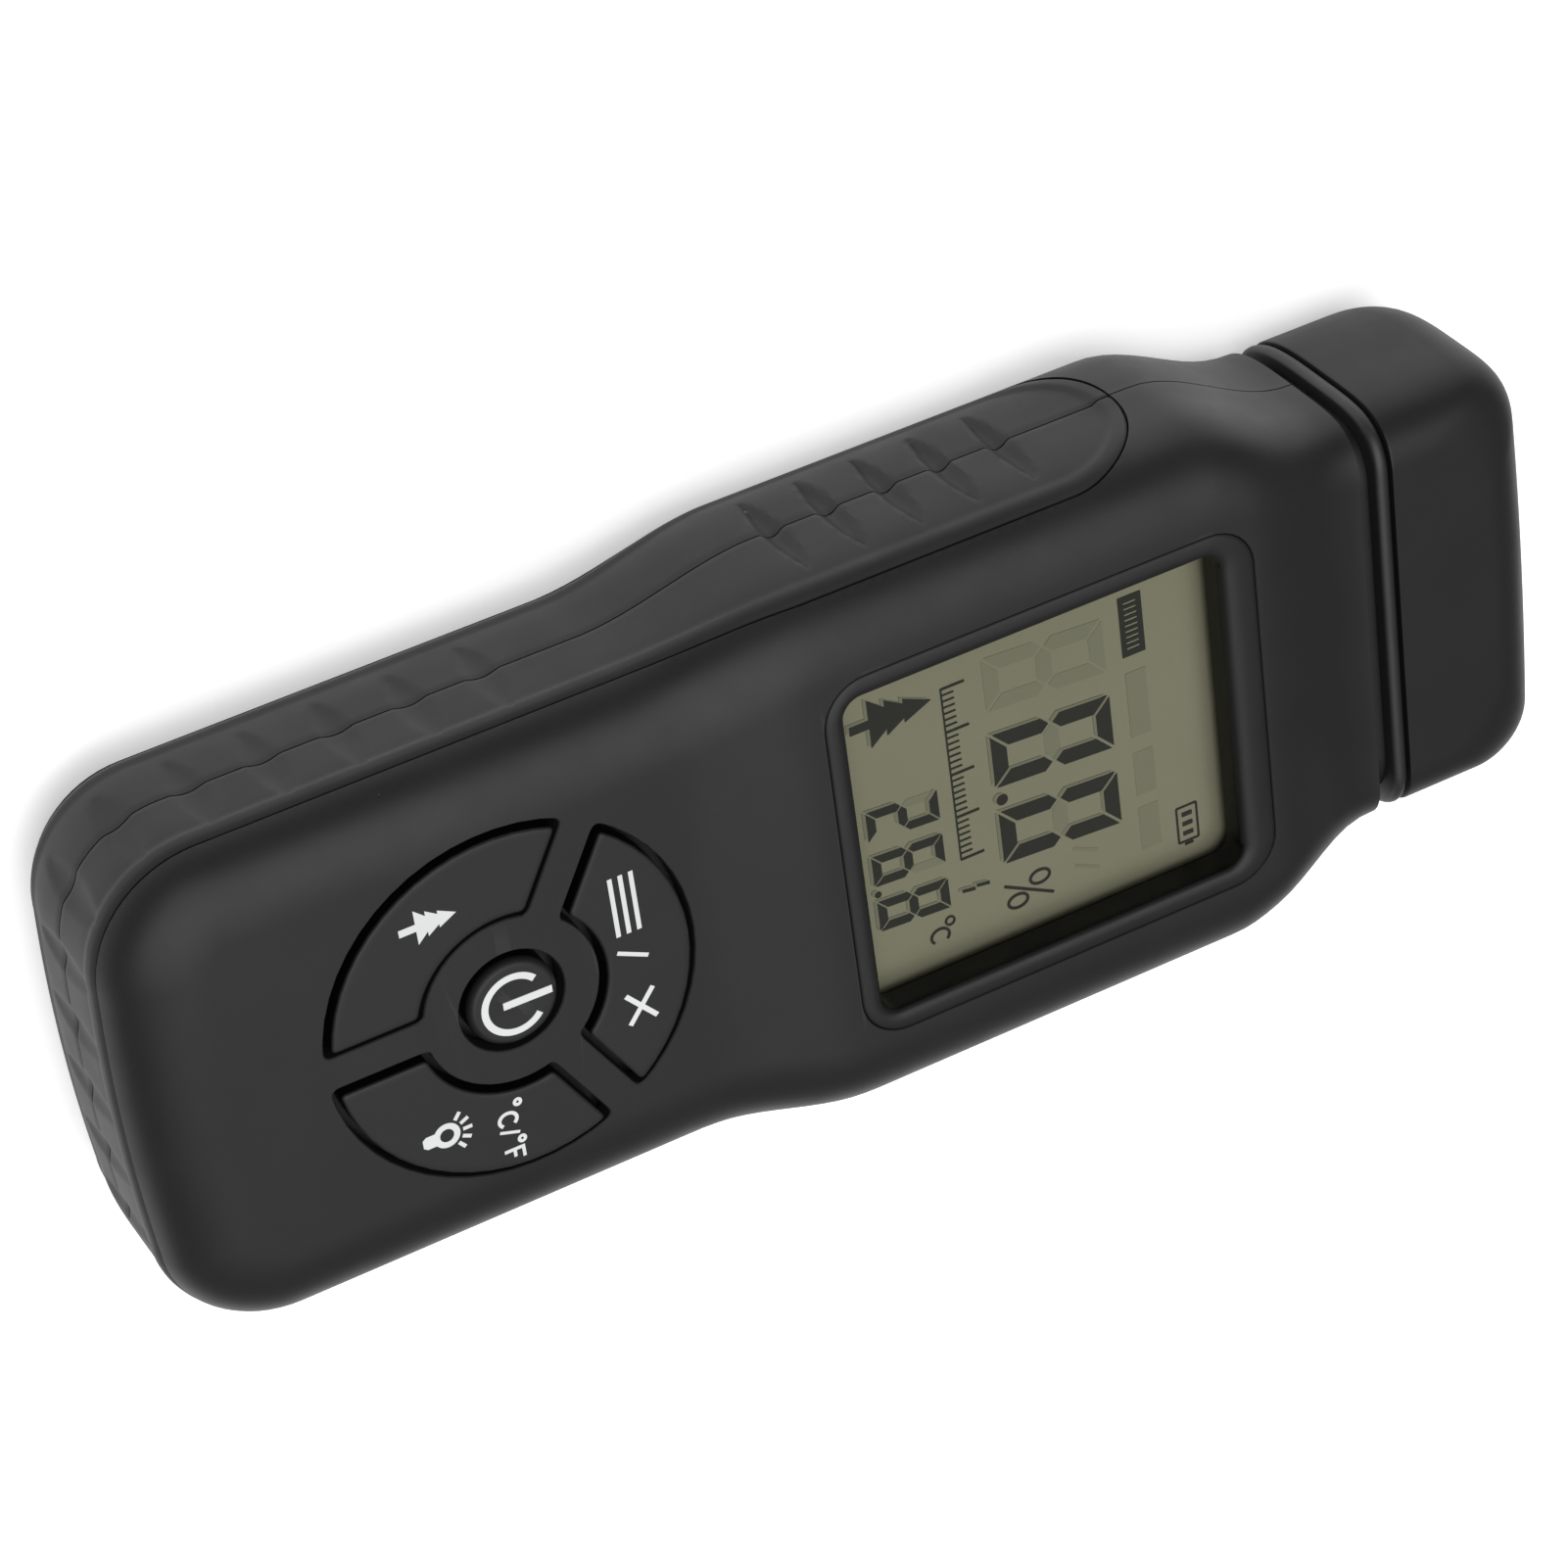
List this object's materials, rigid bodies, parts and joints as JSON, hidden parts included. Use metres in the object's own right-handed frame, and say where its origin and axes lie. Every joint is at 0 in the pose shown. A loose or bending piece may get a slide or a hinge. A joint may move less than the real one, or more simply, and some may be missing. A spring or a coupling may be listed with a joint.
{
  "type": "moisture meter",
  "caption": "Black hand-held pin-type moisture meter with a pull-off protective cap, an LCD and a round keypad",
  "frame": {"origin": "centre of the bounding box's bottom face, with the meter lying on its back", "axes": "+Y from the handle's end to the protective cap, +Z out of the display face, +X to the reader's right with the cap on top"},
  "size_m": [0.0636, 0.162, 0.0296],
  "materials": {
    "case_plastic": "matte",
    "grip_rubber": "matte",
    "cap_plastic": "matte",
    "ring_rubber": "satin",
    "bezel_plastic": "satin",
    "key_rubber": "matte",
    "silicone_rubber": "matte",
    "window_plastic": "clear",
    "lcd_glass": "satin",
    "diffuser_plastic": "satin",
    "holder_plastic": "matte",
    "zebra_rubber": "matte",
    "led_body": "gloss",
    "board_laminate": "satin",
    "chip_resin": "matte",
    "crystal_can": "satin",
    "buzzer_plastic": "satin",
    "capacitor_sleeve": "satin",
    "battery_can": "satin",
    "plated_steel": "satin",
    "snap_vinyl": "matte",
    "red_insulation": "satin",
    "black_insulation": "satin",
    "battery_foam": "matte",
    "nose_plastic": "matte",
    "socket_brass": "satin",
    "white_insulation": "satin"
  },
  "bodies": {
    "case": {"front_shell": "case_plastic", "rear_shell": "case_plastic", "front_grip": "grip_rubber", "rear_grip": "grip_rubber", "collar_ring": "ring_rubber", "lcd_bezel": "bezel_plastic", "lcd_window": "window_plastic", "lcd_panel": "lcd_glass", "lcd_holder": "holder_plastic", "backlight_guide": "diffuser_plastic", "backlight_led_left": "led_body", "backlight_led_right": "led_body", "zebra_strip_lower": "zebra_rubber", "zebra_strip_upper": "zebra_rubber", "main_board": "board_laminate", "keypad_board": "board_laminate", "board_header": "chip_resin", "microcontroller": "chip_resin", "display_driver": "chip_resin", "crystal": "crystal_can", "temperature_sensor": "chip_resin", "buzzer": "buzzer_plastic", "capacitor_input": "capacitor_sleeve", "capacitor_output": "capacitor_sleeve", "keypad_mat": "silicone_rubber", "dome_power": "silicone_rubber", "dome_mode": "silicone_rubber", "dome_species": "silicone_rubber", "dome_light": "silicone_rubber", "battery": "battery_can", "battery_stud_positive": "plated_steel", "battery_stud_negative": "plated_steel", "snap_connector": "snap_vinyl", "battery_lead_positive": "red_insulation", "battery_lead_negative": "black_insulation", "probe_block": "nose_plastic", "pin_socket_left": "socket_brass", "pin_socket_right": "socket_brass", "electrode_pin_left": "plated_steel", "electrode_pin_right": "plated_steel", "probe_lead_left": "white_insulation", "probe_lead_right": "white_insulation", "case_screw_1": "plated_steel", "case_screw_2": "plated_steel", "case_screw_3": "plated_steel", "case_screw_4": "plated_steel", "keypad_board_screw_1": "plated_steel", "keypad_board_screw_2": "plated_steel", "main_board_screw_1": "plated_steel", "main_board_screw_2": "plated_steel", "main_board_screw_3": "plated_steel", "main_board_screw_4": "plated_steel"},
    "cap": {"protective_cap": "cap_plastic"},
    "door": {"battery_door": "case_plastic", "battery_pad": "battery_foam"},
    "power_button": {"key_power": "key_rubber"},
    "mode_button": {"key_mode": "key_rubber"},
    "species_button": {"key_species": "key_rubber"},
    "light_button": {"key_light": "key_rubber"}
  },
  "joints": [
    {"name": "cap_pull", "type": "slide", "parent": "case", "child": "cap", "axis": [0, 1, 0], "range_m": [0, 0.025]},
    {"name": "power_press", "type": "slide", "parent": "case", "child": "power_button", "axis": [0, 0, -1], "range_m": [0, 0.0006], "stiffness_N_per_m": 2500, "deforming": ["dome_power"]},
    {"name": "mode_press", "type": "slide", "parent": "case", "child": "mode_button", "axis": [0, 0, -1], "range_m": [0, 0.0006], "stiffness_N_per_m": 2500, "deforming": ["dome_mode"]},
    {"name": "species_press", "type": "slide", "parent": "case", "child": "species_button", "axis": [0, 0, -1], "range_m": [0, 0.0006], "stiffness_N_per_m": 2500, "deforming": ["dome_species"]},
    {"name": "light_press", "type": "slide", "parent": "case", "child": "light_button", "axis": [0, 0, -1], "range_m": [0, 0.0006], "stiffness_N_per_m": 2500, "deforming": ["dome_light"]},
    {"name": "battery_door_hinge", "type": "hinge", "parent": "case", "child": "door", "pos_m": [0, -0.0725, 0], "axis": [-1, 0, 0], "range_deg": [0, 45]}
  ]
}
